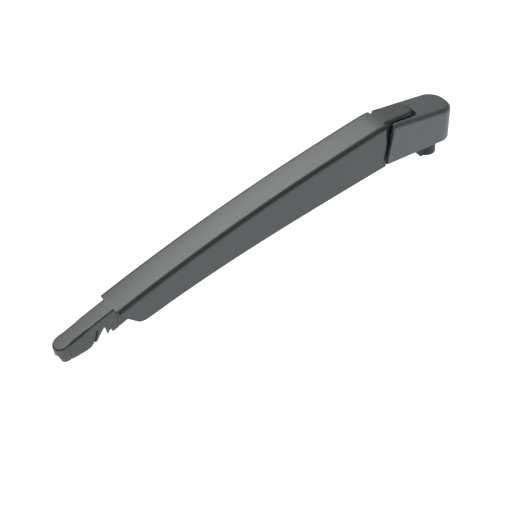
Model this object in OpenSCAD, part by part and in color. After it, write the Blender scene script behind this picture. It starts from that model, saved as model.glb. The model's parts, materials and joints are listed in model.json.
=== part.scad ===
// Rear window wiper arm with a hinged cap over the spindle nut.
// The spindle axis is the Z axis, and z = 0 is the seat of the hub on the wiper spindle.
// +X runs along the arm to the blade end. The arm is symmetric about the XZ plane.
// Everything is drawn at rest, with the arm down on its stop and the cap closed.

/* [Hub casting] */
// Height of the boss from its seat to the nut face
hub_height = 21; // [18:0.5:23]
// Radius of the boss
hub_radius = 8; // [7.6:0.1:8.6]
// Full width of the web and the link fork
web_width = 11.4; // [10:0.2:11.6]
// Depth of the casting pockets on each side of the web
web_pocket = 2.2; // [1:0.1:3]
// Chamfer on the rim of the boss
hub_chamfer = 0.8; // [0.3:0.1:1.2]

/* [Spindle sleeve] */
// Bore radius, for an 8 mm wiper spindle
spindle_bore = 4; // [3.5:0.1:4.4]
// Outer radius of the steel sleeve
sleeve_radius = 5.6; // [5.2:0.1:6.2]
// Length of the plain bore from the seat up
bore_length = 15; // [10:0.5:16]
// Number of serrations in the bore's upper end
serration_count = 24; // [12:1:36]
// Depth of each serration
serration_depth = 0.35; // [0.2:0.05:0.5]

/* [Hinge] */
// Distance of the hinge pin in front of the spindle axis
hinge_x = 38; // [36.5:0.5:39]
// Height of the hinge pin above the hub seat
hinge_z = 36.8; // [36.2:0.1:37.2]
// Radius of the hinge pin
hinge_pin_radius = 2.5; // [2:0.1:2.8]
// Length of the hinge pin
hinge_pin_length = 25; // [24.4:0.1:25.4]
// Radius of the casting's lug around the hinge pin
lug_radius = 6.4; // [5.5:0.1:6.8]
// Width of the casting's lug between the bush flanges
lug_width = 10.2; // [9:0.1:10.3]
// Wall of each hinge bush
bush_wall = 1; // [0.7:0.1:1.3]
// Flange thickness of each hinge bush
bush_flange = 0.8; // [0.5:0.1:0.9]
// Flange radius of each hinge bush
bush_flange_radius = 5.2; // [4.6:0.1:5.6]
// Radial running clearance of the hinge pin
running_fit = 0.05; // [0.03:0.01:0.08]
// Side clearance between parts that turn on each other
side_gap = 0.3; // [0.25:0.05:0.4]

/* [Spring and link] */
// Distance of the link pin in front of the spindle axis
link_pin_x = 40.5; // [39:0.25:42]
// Height of the link pin above the hub seat
link_pin_z = 21.5; // [20.5:0.25:22.5]
// Radius of the link pin
link_pin_radius = 1.6; // [1.3:0.1:1.8]
// Length of the hook link between its two holes
link_length = 24; // [22:0.5:27]
// Thickness of the hook link's steel strip
link_thickness = 3; // [2:0.1:3.2]
// Breadth of the hook link's steel strip
link_breadth = 5; // [4:0.2:5.6]
// How far the hook link bows down between its holes
link_bow = 4; // [2.5:0.25:5]
// Distance of the spring pin in front of the spindle axis
spring_pin_x = 121; // [115:1:127]
// Height of the spring pin above the hub seat
spring_pin_z = 17; // [15:0.5:18]
// Radius of the spring pin
spring_pin_radius = 2; // [1.6:0.1:2.3]
// Mean coil radius of the spring
coil_radius = 4.7; // [4:0.1:5.2]
// Radius of the spring wire
wire_radius = 0.85; // [0.7:0.05:0.95]
// Number of coils between the end loops
coil_count = 17; // [12:1:18]

/* [Arm moulding] */
// Width of the arm over its side walls
arm_width = 25.6; // [25:0.1:26.2]
// Height of the arm's top at the hinge shoulder
shoulder_z = 45.9; // [45.6:0.1:46.4]
// Distance of the hinge shoulder in front of the spindle axis
shoulder_x = 48.4; // [48.1:0.1:49.2]
// Distance of the nose tip in front of the spindle axis
nose_x = 319; // [305:1:333]
// Height of the nose tip relative to the hub seat
nose_z = -33.2; // [-37:0.2:-28]
// Slope of the arm's top at the hinge shoulder
shoulder_slope = 10.5; // [8:0.5:12]
// Slope of the arm's top at the nose
nose_slope = 22.4; // [20:0.2:25]
// Length of the narrow blade tongue
tongue_length = 44.2; // [42:0.2:48]
// Depth of the side walls at the hinge shoulder
wall_depth_hinge = 34.6; // [33:0.2:35.4]
// Depth of the side walls at the blade end
wall_depth_tip = 21.2; // [19:0.2:23]
// How far the lower edge bows up between its ends
belly_bow = 5.4; // [3:0.2:6]
// Radius of the long upper edges
arm_edge_radius = 3.4; // [2.4:0.1:3.8]
// Wall thickness of the side walls
arm_wall = 2; // [1.6:0.1:2.4]
// Thickness of the top
arm_top = 2.2; // [1.8:0.1:2.4]
// Angle of the mould's draw direction from the Z axis
draw_angle = 8; // [4:0.5:12]
// Radius of the convex end of each side wall at the hinge
wall_end_radius = 50; // [45:1:70]
// Height of the rearmost point of that convex end
wall_end_height = 33; // [30:0.5:34]
// Gap between the foot of each side wall and the foot of the cap's cheek
wall_foot_gap = 1.6; // [1.2:0.1:2]
// Thickness of the laps that close the gaps behind the cap's cheeks
lap_wall = 1.2; // [1:0.1:1.4]
// How far each lap reaches behind the cheek's front edge
lap_reach = 2.4; // [2:0.1:2.8]
// Height of the foot at the hinge end of each side wall
wall_foot_height = 3.4; // [2:0.2:4.4]
// Length of the slanted end of each side wall at the blade end
wall_slant = 17; // [13:0.5:20]
// Length of the rounding at the foot of the slanted wall end
slant_corner = 4.5; // [4:0.5:9]
// Pitch of the cross ribs under the top
rib_pitch = 24; // [18:1:32]
// Depth of the cross ribs under the top
rib_depth = 6; // [4:0.5:8]
// Thickness of the ribs
rib_wall = 1.5; // [1.2:0.1:1.8]

/* [Hinge tongue] */
// Width of the hinge tongue over its ears
ear_span = 17; // [16.8:0.1:17.4]
// Thickness of each ear
ear_wall = 2.2; // [1.9:0.1:2.4]
// Length of the hinge tongue behind the shoulder
hinge_tongue_length = 27.4; // [26.6:0.2:27.6]
// Drop of the hinge tongue's top from the shoulder to its end
hinge_tongue_drop = 0.1; // [0:0.1:0.4]
// Corner radius of the hinge tongue's end
hinge_tongue_corner = 4.4; // [1.5:0.1:5]
// Radius of each ear around the hinge pin
ear_radius = 7; // [6:0.1:7.4]
// How far the ears run into the arm as ribs
ear_run_in = 20; // [14:0.5:24]

/* [Blade tongue] */
// Width of the blade tongue's plate
tongue_width = 14; // [13.4:0.2:14.6]
// Thickness of the blade tongue's plate
tongue_plate = 2.4; // [2:0.1:2.8]
// Outer width of the two rails under the plate
rail_span = 12.8; // [12:0.1:13]
// Wall thickness of the rails
rail_wall = 2; // [1.6:0.1:2.4]
// Depth of the rails where they leave the arm
rail_depth_arm = 19.2; // [17:0.2:19.6]
// Depth of the rails beside the nose block
rail_depth_nose = 12.6; // [10.6:0.2:13.4]
// Depth of the nose block
nose_depth = 10.4; // [9:0.2:10.8]
// Length of the nose block behind the nose tip
nose_block_length = 8.4; // [7:0.2:10]
// Height of the hook under the nose block
nose_hook = 1.2; // [0.6:0.1:1.6]
// Start of the blade notch in front of the blade shoulder
notch_start = 7; // [6:0.2:8]
// Width of the blade notch
notch_width = 7.4; // [6.4:0.2:8]
// Depth of the notch's roof below the top
notch_roof = 9.6; // [9:0.2:11]
// Length of the latch tooth beside the notch
tooth_length = 2.6; // [2:0.1:3]
// Width of the saw slits in the rails
slit_width = 1.2; // [0.8:0.1:1.4]

/* [Spindle cap] */
// Width of the cap over its cheeks
cap_width = 27.6; // [27.2:0.1:28.2]
// Distance of the cap's round end behind the spindle axis
cap_back = 16.8; // [15.4:0.2:17.4]
// Height of the cap's lower edge above the hub seat
cap_bottom = 13.2; // [12.6:0.1:14]
// Height of the cap's top at its front
cap_top = 44; // [43.6:0.1:44.3]
// Fall of the cap's top towards the round end
cap_fall = 5.4; // [4.6:0.1:6.4]
// Distance of the cheeks' lower front corners in front of the spindle axis
cheek_foot = 46; // [45.4:0.1:46.4]
// Slant of the cheeks' front edges from the Z axis
cheek_slant = 10.8; // [10.4:0.1:12]
// Radius of the cap's upper edges
cap_edge_radius = 3.2; // [2.4:0.1:3.6]
// Corner radius of the cap's round end in plan
cap_end_radius = 12.2; // [10:0.2:13]
// Wall thickness of the cap
cap_wall = 1.9; // [1.6:0.1:2]
// Width of the notch in the cap's top
cap_notch_width = 19.8; // [19.2:0.1:20.4]
// Distance of the notch's closed end in front of the spindle axis
cap_notch_end = 18; // [17.2:0.1:18.4]
// Corner radius of the notch
cap_notch_corner = 2.4; // [1:0.1:3]
// Radius of the hinge bosses inside the cheeks
cap_boss_radius = 4.6; // [4:0.1:5]

/* [Hidden] */
$fn = 72;
// Overshoot of every cutting solid
cut = 1;
// Colours of the materials in the photo
dark_plastic = [0.27, 0.28, 0.28];
cap_plastic = [0.24, 0.25, 0.26];
cast_metal = [0.42, 0.43, 0.45];
bright_steel = [0.72, 0.73, 0.75];
bush_plastic = [0.85, 0.82, 0.72];
// Points that the hinge and the spring line share
hinge = [hinge_x, hinge_z];
link_pin_at = [link_pin_x, link_pin_z];
spring_pin_at = [spring_pin_x, spring_pin_z];
spring_run = spring_pin_at - link_pin_at;
spring_tilt = atan2(spring_run[1], spring_run[0]);
link_end = link_pin_at + link_length * [cos(spring_tilt), sin(spring_tilt)];
// Places along the arm
blade_shoulder_x = nose_x - tongue_length;
crest_start = [shoulder_x, shoulder_z, -tan(shoulder_slope)];
crest_end = [nose_x, nose_z, -tan(nose_slope)];
draw = [-sin(draw_angle), -cos(draw_angle)];
ear_half = ear_span / 2;
ear_inner = ear_half - ear_wall;
arm_half = arm_width / 2;
crest_steps = 34;
edge_steps = 4;

// Cubic through two points [x, z, slope]
function flow(x, a, b) =
    let (run = b[0] - a[0], t = (x - a[0]) / run)
    (2 * t^3 - 3 * t^2 + 1) * a[1] + (t^3 - 2 * t^2 + t) * run * a[2]
    + (3 * t^2 - 2 * t^3) * b[1] + (t^3 - t^2) * run * b[2];

// Height of the arm's top edge line, and of the lower edge of its side walls
function crest(x) = flow(x, crest_start, crest_end);
function belly(x) =
    let (t = (x - shoulder_x) / (blade_shoulder_x - shoulder_x))
    (crest(shoulder_x) - wall_depth_hinge) * (1 - t)
    + (crest(blade_shoulder_x) - wall_depth_tip) * t + 4 * belly_bow * t * (1 - t);

// Point at a depth below the top, measured along the draw direction
function below(x, depth) = [x, crest(x)] + depth * draw;

// Points of an arc in a plane
function arc(centre, r, a0, a1, steps) =
    [for (i = [0:steps]) let (a = a0 + (a1 - a0) * i / steps) centre + r * [cos(a), sin(a)]];

// Solid of a side profile [x, z], from y0 to y1
module side_solid(y0, y1) {
    translate([0, y1, 0])
        rotate([90, 0, 0])
            linear_extrude(height = y1 - y0)
                children();
}

// The same solid on both sides of the XZ plane
module both_sides() {
    children();
    mirror([0, 1, 0]) children();
}

// Cylinder along Y, centred on the XZ plane at a point [x, z]
module cross_cylinder(at, r, length) {
    translate([at[0], length / 2, at[1]])
        rotate([90, 0, 0])
            cylinder(r = r, h = length);
}

// Cylinder along Y from y0 to y1
module side_cylinder(at, r, y0, y1) {
    translate([at[0], y1, at[1]])
        rotate([90, 0, 0])
            cylinder(r = r, h = y1 - y0);
}

// Shell with a U section that follows the top line, one row of points for each station
module channel(x0, x1, half, edge, wall, roof) {
    inner = max(edge - roof, 0.6);
    // Outer outline from the left foot over the top to the right foot, then the inner one beside it
    outline = function (w, r, top, foot)
        concat([[-w, foot]], arc([r - w, top - r], r, 180, 90, edge_steps),
            arc([w - r, top - r], r, 90, 0, edge_steps), [[w, foot]]);
    half_count = 2 * edge_steps + 4;
    count = 2 * half_count;
    points = [for (i = [0:crest_steps])
        let (x = x0 + (x1 - x0) * i / crest_steps, outer = outline(half, edge, crest(x), belly(x)),
             hollow = outline(half - wall, inner, crest(x) - roof, belly(x)))
        each concat([for (p = outer) [x, p[0], p[1]]],
            [for (j = [half_count - 1:-1:0]) [x, hollow[j][0], hollow[j][1]]])];
    sides = [for (i = [0:crest_steps - 1]) for (j = [0:count - 1])
        let (k = (j + 1) % count, a = i * count, b = a + count)
        each [[a + j, a + k, b + k], [a + j, b + k, b + j]]];
    last = crest_steps * count;
    caps = [for (j = [0:half_count - 2])
        let (m = count - 1 - j)
        each [[j, m - 1, j + 1], [j, m, m - 1],
              [last + j, last + j + 1, last + m - 1], [last + j, last + m - 1, last + m]]];
    polyhedron(points = points, faces = concat(sides, caps), convexity = 6);
}

// Slab that follows the top line, with a stub that reaches into the roof behind it
module crest_slab(x0, x1, half, depth, steps) {
    side_solid(-half, half)
        polygon(concat(
            [[x0 - 3, crest(x0 - 3) - 0.9], [x0, crest(x0) - 0.9]],
            [for (i = [0:steps]) let (x = x0 + (x1 - x0) * i / steps) [x, crest(x)]],
            [for (i = [steps:-1:0]) let (x = x0 + (x1 - x0) * i / steps) [x, crest(x) - depth]],
            [[x0 - 3, crest(x0 - 3) - depth]]));
}

// Curve that rounds a corner between two points on its sides
function rounding(from, corner, to, steps) =
    [for (i = [0:steps]) let (t = i / steps) (1 - t)^2 * from + 2 * t * (1 - t) * corner + t^2 * to];

// Region behind the convex hinge ends of the arm's side walls
module wall_end_cut() {
    rise = asin((shoulder_z - wall_end_height) / wall_end_radius);
    centre = [shoulder_x + wall_end_radius * cos(rise), wall_end_height];
    heel = [cheek_foot + wall_foot_gap, belly(shoulder_x) + wall_foot_height];
    drop = asin((wall_end_height - heel[1] - 3) / wall_end_radius);
    side_solid(-arm_half - cut, arm_half + cut)
        polygon(concat(
            arc(centre, wall_end_radius, 180 - rise - 2, 180 + drop, 20),
            [heel, [heel[0], heel[1] - wall_foot_height - 4], [0, heel[1] - wall_foot_height - 4],
             [0, shoulder_z + 4], [shoulder_x, shoulder_z + 4]]));
}

// Region in front of the slanted blade ends of the arm's side walls
module wall_slant_cut() {
    head = [blade_shoulder_x - 0.8, crest(blade_shoulder_x) - arm_edge_radius * 0.8];
    foot = [blade_shoulder_x - wall_slant, belly(blade_shoulder_x - wall_slant)];
    along = (head - foot) / norm(head - foot);
    heel_x = foot[0] - 1.4 * slant_corner;
    low = foot[1] - 10;
    side_solid(-arm_half - cut, arm_half + cut)
        polygon(concat(
            [[blade_shoulder_x + cut, shoulder_z], [blade_shoulder_x + cut, head[1]], head],
            rounding(foot + slant_corner * along, foot, [heel_x, belly(heel_x)], 8),
            [[heel_x - 4, belly(heel_x) - 1], [heel_x - 4, low], [nose_x, low], [nose_x, shoulder_z]]));
}

// Plate and ears that reach back into the cap's notch
module hinge_tongue() {
    end_x = shoulder_x - hinge_tongue_length;
    end_z = shoulder_z - hinge_tongue_drop;
    intersection() {
        side_solid(-ear_half, ear_half)
            polygon([[end_x, end_z], [shoulder_x + 0.2, shoulder_z - 0.03], [shoulder_x + 0.2, shoulder_z - 0.8],
                     [shoulder_x + 3, crest(shoulder_x + 3) - 0.8], [shoulder_x + 3, shoulder_z - arm_top - 0.6],
                     [shoulder_x, shoulder_z - arm_top], [end_x, end_z - arm_top]]);
        translate([0, 0, hinge_z])
            linear_extrude(height = shoulder_z - hinge_z + cut)
                hull() {
                    for (side = [-1, 1])
                        translate([end_x + hinge_tongue_corner, side * (ear_half - hinge_tongue_corner)])
                            circle(r = hinge_tongue_corner);
                    translate([shoulder_x + 3, -ear_half])
                        square([cut, ear_span]);
                }
    }
    both_sides()
        side_solid(ear_inner, ear_half)
            ear_profile(end_x + hinge_tongue_corner, end_z);
}

// Side profile of an ear, round about the hinge and running into the arm as a rib
module ear_profile(back, back_z) {
    run_x = shoulder_x + ear_run_in;
    foot = hinge - [0, ear_radius];
    polygon(concat(
        [[back, back_z - 0.4], [shoulder_x, shoulder_z - 0.9]],
        [for (i = [1:6]) let (x = shoulder_x + ear_run_in * i / 6) [x, crest(x) - 0.8]],
        [[run_x, crest(run_x) - rib_depth], [shoulder_x + 4, hinge_z - ear_radius + 1.5]],
        arc(hinge, ear_radius, -70, -180, 16),
        [[back, back_z - arm_top - 2]]));
}

// Narrow tongue that carries the blade
module blade_tongue() {
    r = tongue_width / 2;
    nose_centre = below(nose_x - r * cos(draw_angle), 0);
    intersection() {
        crest_slab(blade_shoulder_x - 0.3, nose_x + cut, r, tongue_plate, 8);
        tongue_plan(0, nose_centre, nose_depth + 12);
    }
    both_sides()
        difference() {
            side_solid(rail_span / 2 - rail_wall, rail_span / 2)
                rail_profile();
            blade_slots();
        }
    nose_block(nose_centre);
    for (x = [blade_shoulder_x - 12, blade_shoulder_x + notch_start + notch_width + 4])
        side_solid(-rail_span / 2 + rail_wall / 2, rail_span / 2 - rail_wall / 2)
            polygon([below(x, 1), below(x + rib_wall, 1), below(x + rib_wall, notch_roof), below(x, notch_roof)]);
}

// Plan of the blade tongue, extruded along the draw direction
module tongue_plan(inset, centre, depth) {
    translate([centre[0], 0, centre[1]])
        rotate([0, draw_angle, 0])
            translate([0, 0, -depth])
                linear_extrude(height = depth + 12)
                    union() {
                        circle(r = tongue_width / 2 - inset);
                        translate([-tongue_length - 10, -tongue_width / 2 + inset])
                            square([tongue_length + 10, tongue_width - 2 * inset]);
                    }
}

// Side profile of a rail, deep at the arm and shallow at the nose
module rail_profile() {
    back = blade_shoulder_x - 24;
    deep = blade_shoulder_x + notch_start - tooth_length - 2.6;
    front = nose_x - nose_block_length + 1;
    mid = blade_shoulder_x + notch_start + notch_width;
    polygon(concat(
        [for (i = [0:10]) below(back + (front - back) * i / 10, 1)],
        [below(front, rail_depth_nose), below((front + mid) / 2, rail_depth_nose + 2.9),
         below(mid, rail_depth_arm - 2.8), below(deep, rail_depth_arm), below(back, rail_depth_arm - 1.5)]));
}

// Notch for the blade's pin, with a latch tooth and saw slits beside it
module blade_slots() {
    start = blade_shoulder_x + notch_start;
    deep = rail_depth_arm + 4;
    side_solid(0, tongue_width)
        union() {
            polygon([below(start, notch_roof + 1.2), below(start + 1.4, notch_roof),
                     below(start + notch_width, notch_roof), below(start + notch_width, deep),
                     below(start - 0.6, deep)]);
            polygon([below(start - tooth_length - slit_width, rail_depth_arm - 3.4),
                     below(start - tooth_length, rail_depth_arm - 3.4),
                     below(start - tooth_length, deep), below(start - tooth_length - slit_width, deep)]);
            polygon([below(start + notch_width + 1.6, notch_roof - 3.6),
                     below(start + notch_width + 1.6 + slit_width, notch_roof - 3.6),
                     below(start + notch_width + 1.6 + slit_width, deep),
                     below(start + notch_width + 1.6, deep)]);
        }
}

// Solid block under the round nose, with a small hook on its lower front edge
module nose_block(centre) {
    back = nose_x - nose_block_length;
    intersection() {
        side_solid(-tongue_width, tongue_width)
            polygon([below(back, 1), below(nose_x + 4, 1), below(nose_x + 4, nose_depth - nose_hook),
                     below(nose_x - 1.4, nose_depth - nose_hook), below(nose_x - 2.4, nose_depth + 0.2),
                     below(nose_x - 4.4, nose_depth + nose_hook), below(back, nose_depth + nose_hook)]);
        tongue_plan(0.3, centre, nose_depth + 14);
    }
}

// Arm, one moulding from the hinge tongue to the blade tongue
module arm_moulding() {
    ribs = floor((blade_shoulder_x - 40 - spring_pin_x) / rib_pitch);
    color(dark_plastic)
        difference() {
            union() {
                difference() {
                    channel(shoulder_x - 3, blade_shoulder_x, arm_half, arm_edge_radius, arm_wall, arm_top);
                    wall_end_cut();
                    wall_slant_cut();
                }
                hinge_tongue();
                shoulder_web();
                both_sides()
                    cheek_lap();
                blade_tongue();
                for (i = [0:ribs])
                    cross_rib(spring_pin_x + 14 + i * rib_pitch);
                both_sides()
                    spring_seat();
            }
            cross_cylinder(hinge, hinge_pin_radius + running_fit + bush_wall, arm_width);
            cross_cylinder(spring_pin_at, spring_pin_radius, arm_width - arm_wall);
        }
}

// End wall between each ear and the side wall, and the web above the link
module shoulder_web() {
    both_sides()
        side_solid(ear_half - 0.4, arm_half - arm_wall / 2)
            polygon([[shoulder_x + 1, crest(shoulder_x + 1) - 1.6], [shoulder_x + 3, crest(shoulder_x + 3) - 1.6],
                     [shoulder_x + 2.6, hinge_z - 6], [shoulder_x + 1, hinge_z - 6]]);
}

// Lap on the end of a side wall, behind the front edge of the cap's cheek and clear of the hinge boss
module cheek_lap() {
    outer = arm_half - arm_wall - 0.6;
    low = belly(shoulder_x) + 0.3;
    high = hinge_z - cap_boss_radius - 1.9;
    lean = tan(cheek_slant);
    side_solid(outer - lap_wall, outer)
        polygon([[cheek_foot - lap_reach, low], [cheek_foot - lap_reach - (high - low) * lean, high],
                 [shoulder_x - 1.6, high + 2.5], [shoulder_x + 4, high + 2.5], [shoulder_x + 4, low + 0.2]]);
    side_solid(outer - 0.4, arm_half - arm_wall + 0.4)
        polygon([[shoulder_x + 1, low + 0.2], [shoulder_x + 1, high + 1.5],
                 [shoulder_x + 3.4, high + 1.5], [shoulder_x + 3.4, low + 0.4]]);
}

// Rib across the channel under the top
module cross_rib(x) {
    side_solid(-arm_half + arm_wall / 2, arm_half - arm_wall / 2)
        polygon([[x, crest(x) - 1.6], [x + rib_wall, crest(x + rib_wall) - 1.6],
                 [x + rib_wall, crest(x) - arm_top - rib_depth], [x, crest(x) - arm_top - rib_depth]]);
}

// Thickening of a side wall that holds the end of the spring pin
module spring_seat() {
    seat = spring_pin_radius + 2;
    side_solid(coil_radius + wire_radius + 1.2, arm_half - arm_wall / 2)
        polygon(concat(
            arc(spring_pin_at, seat, 180, 360, 16),
            [[spring_pin_x + seat, crest(spring_pin_x + seat) - 1.6],
             [spring_pin_x - seat, crest(spring_pin_x - seat) - 1.6]]));
}

// Casting that carries the spindle, the hinge pin and the link pin
module hub_casting() {
    fork_slot = link_thickness / 2 + side_gap;
    color(cast_metal)
        difference() {
            union() {
                cylinder(r = hub_radius, h = hub_height - hub_chamfer);
                translate([0, 0, hub_height - hub_chamfer])
                    cylinder(r1 = hub_radius, r2 = hub_radius - hub_chamfer, h = hub_chamfer);
                side_solid(-web_width / 2, web_width / 2)
                    web_profile();
                cross_cylinder(hinge, lug_radius, lug_width);
            }
            both_sides()
                side_solid(web_width / 2 - web_pocket, web_width)
                    pocket_profile();
            both_sides()
                side_cylinder(hinge, max(bush_flange_radius, ear_radius) + side_gap, lug_width / 2, web_width);
            translate([0, 0, -cut])
                cylinder(r = sleeve_radius, h = hub_height + 2 * cut);
            cross_cylinder(hinge, hinge_pin_radius, web_width + 2 * cut);
            cross_cylinder(link_pin_at, link_pin_radius, web_width + 2 * cut);
            side_solid(-fork_slot, fork_slot)
                polygon([link_pin_at + [-5, -8], link_pin_at + [-5, 3.6], link_pin_at + [2, 5.2],
                         link_pin_at + [9, 9.5], link_pin_at + [12, -8]]);
        }
}

// Side profile of the casting's web, from the boss to the lug, the fork and the stop toe
module web_profile() {
    toe_z = shoulder_z - arm_top - side_gap;
    nose = link_pin_at[0] + link_pin_radius + 3;
    polygon(concat(
        [[2, 0], [hub_radius + 0.6, 0], [hub_radius + 6.9, 10], [hub_radius + 14, 14.2],
         [link_pin_at[0] - 2, link_pin_at[1] - link_pin_radius - 3]],
        arc(link_pin_at, link_pin_radius + 3, -90, 30, 8),
        [[hinge_x + lug_radius - 1, hinge_z - 3], [shoulder_x - 2.2, toe_z - 5],
         [shoulder_x - 1.8, toe_z], [hinge_x + 2, toe_z - 0.25]],
        arc(hinge, lug_radius, 90, 215, 12),
        [[hub_radius + 8, hub_height - 2.4], [hub_radius - 2, hub_height - 2.4], [2, hub_height - 2.4]]));
}

// Side profile of the casting pockets
module pocket_profile() {
    offset(r = 1.2)
        offset(delta = -1.2)
            polygon([[hub_radius + 3, 6.8], [hub_radius + 8.4, 13], [hub_radius + 15, 16.4],
                     link_pin_at + [-5.6, -1], hinge + [-7.6, -9], [hub_radius + 9, hub_height - 4.6],
                     [hub_radius + 3.2, hub_height - 4.6]]);
}

// Steel sleeve that grips the spindle, with serrations above its plain bore
module spindle_sleeve() {
    color(bright_steel)
        difference() {
            cylinder(r = sleeve_radius, h = hub_height);
            translate([0, 0, -cut])
                cylinder(r = spindle_bore, h = hub_height + 2 * cut);
            for (i = [0:serration_count - 1])
                rotate([0, 0, 360 * i / serration_count])
                    translate([spindle_bore, 0, bore_length])
                        rotate([0, 0, 45])
                            translate([-serration_depth, -serration_depth, 0])
                                cube([2 * serration_depth, 2 * serration_depth, hub_height]);
        }
}

// Hinge pin, pressed into the casting's lug
module hinge_pin() {
    chamfer = 0.5;
    plain = hinge_pin_length / 2 - chamfer;
    color(bright_steel)
        union() {
            cross_cylinder(hinge, hinge_pin_radius, 2 * plain);
            both_sides()
                translate([hinge_x, plain, hinge_z])
                    rotate([-90, 0, 0])
                        cylinder(r1 = hinge_pin_radius, r2 = hinge_pin_radius - chamfer, h = chamfer);
        }
}

// Flanged bush in an ear, with its flange against the casting's lug
module hinge_bush() {
    bore = hinge_pin_radius + running_fit;
    color(bush_plastic)
        difference() {
            union() {
                side_cylinder(hinge, bore + bush_wall, ear_inner - bush_flange / 2, ear_half);
                side_cylinder(hinge, bush_flange_radius, ear_inner - bush_flange, ear_inner);
            }
            side_cylinder(hinge, bore, 0, arm_half);
        }
}

module hinge_bush_left() {
    hinge_bush();
}

module hinge_bush_right() {
    mirror([0, 1, 0]) hinge_bush();
}

// Plan of the cap with its round end, inset for the inner walls
module cap_plan(inset) {
    half = cap_width / 2 - inset;
    r = cap_end_radius - inset;
    hull() {
        for (side = [-1, 1])
            translate([-cap_back + cap_end_radius, side * (half - r)])
                circle(r = r);
        translate([cheek_foot, -half])
            square([cut, 2 * half]);
    }
}

// Closed body of the cap with rounded upper edges and a sloping top
module cap_form(inset, edge) {
    half = cap_width / 2 - inset;
    r = cap_end_radius - inset;
    back = -cap_back + cap_end_radius;
    top = function (x) cap_top - inset - (cheek_foot - 6 - x) * tan(cap_fall);
    hull() {
        for (side = [-1, 1]) {
            translate([back, side * (half - r), top(back) - edge])
                rounded_disc(r, edge);
            translate([back, side * (half - r), cap_bottom])
                cylinder(r = r, h = 1, $fn = 40);
            translate([cheek_foot + 6, side * (half - edge), top(cheek_foot + 6) - edge])
                sphere(r = edge, $fn = 24);
        }
        translate([cheek_foot + 5, -half, cap_bottom])
            cube([1, 2 * half, 1]);
    }
}

// Disc with a rounded upper rim, for the cap's round end
module rounded_disc(r, edge) {
    rotate_extrude($fn = 40)
        union() {
            square([r - edge, edge]);
            intersection() {
                translate([r - edge, 0])
                    circle(r = edge, $fn = 24);
                square([r, edge]);
            }
        }
}

// Cap over the spindle nut, open below and in front
module spindle_cap() {
    cheek_in = cap_width / 2 - cap_wall;
    boss_in = ear_half + side_gap;
    bore_depth = hinge_pin_length / 2 + 0.2;
    color(cap_plastic)
        difference() {
            union() {
                difference() {
                    cap_form(0, cap_edge_radius);
                    cap_hollow(cheek_in);
                    cap_front_cut();
                    cap_notch();
                }
                both_sides()
                    side_cylinder(hinge, cap_boss_radius, boss_in, cheek_in + 0.4);
                cap_latch();
            }
            both_sides()
                side_cylinder(hinge, hinge_pin_radius + running_fit, 0, bore_depth);
        }
}

// Hollow of the cap
module cap_hollow(cheek_in) {
    inner_edge = max(cap_edge_radius - cap_wall, 0.6);
    difference() {
        translate([0, 0, -cut])
            union() {
                translate([0, 0, cut]) cap_form(cap_wall, inner_edge);
                linear_extrude(height = cap_bottom + 2 * cut) cap_plan(cap_wall);
            }
        translate([-cap_back, -1, cap_bottom])
            cube([cap_wall + 1.4, 2, cap_top - cap_bottom]);
    }
}

// Space in front of the cheeks' slanted front edges
module cap_front_cut() {
    height = cap_top - cap_bottom;
    foot = [cheek_foot, cap_bottom];
    head = foot + (height + 4) * [-tan(cheek_slant), 1];
    side_solid(-cap_width, cap_width)
        polygon([foot + [0, -cut], foot + [20, -cut], [foot[0] + 20, head[1]], head, foot]);
}

// Notch in the top for the hinge tongue
module cap_notch() {
    translate([0, 0, hinge_z + 2])
        linear_extrude(height = cap_top)
            hull() {
                for (side = [-1, 1])
                    translate([cap_notch_end + cap_notch_corner, side * (cap_notch_width / 2 - cap_notch_corner)])
                        circle(r = cap_notch_corner);
                translate([cheek_foot, -cap_notch_width / 2])
                    square([cut, cap_notch_width]);
            }
}

// Latch nib on the inside of the round end, against the rear of the boss
module cap_latch() {
    nib_z = hub_height - hub_chamfer - 3.4;
    side_solid(-3, 3)
        polygon([[-cap_back + cap_wall - 0.4, nib_z - 3], [-cap_back + cap_wall - 0.4, nib_z + 3],
                 [-hub_radius - side_gap, nib_z + 0.6], [-hub_radius - side_gap, nib_z - 0.6]]);
}

// Route of the spring: loop, coils, hook, as [point, reference direction] pairs along its own X axis
function spring_route(length) =
    let (steps = 12, c = coil_radius, elbow = wire_radius + 0.5,
         x0 = c + elbow, x1 = length - (c - wire_radius - spring_pin_radius) - elbow,
         total = coil_count * steps + 3)
    concat(
        [for (i = [0:9]) let (a = 180 + 30 - 30 * i + 60) [[c - c * cos(a - 180), c * sin(a - 180), 0], [0, 0, 1]]],
        [[[c + elbow * 0.7, c, elbow * 0.3], [0.7, 0, 0.7]]],
        [for (i = [1:total]) let (a = 90 - 360 * i / steps, f = i / total)
            [[x0 + (x1 - x0) * f, c * sin(a), c * cos(a)], [1, 0, 0]]],
        [[[x1 + elbow * 0.4, -elbow * 0.4, c], [0.7, 0.7, 0]]],
        [for (i = [0:9]) let (a = 28 * i) [[x1 + elbow + c * sin(a), -elbow * 0.5, c * cos(a)], [0, 1, 0]]]);

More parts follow.
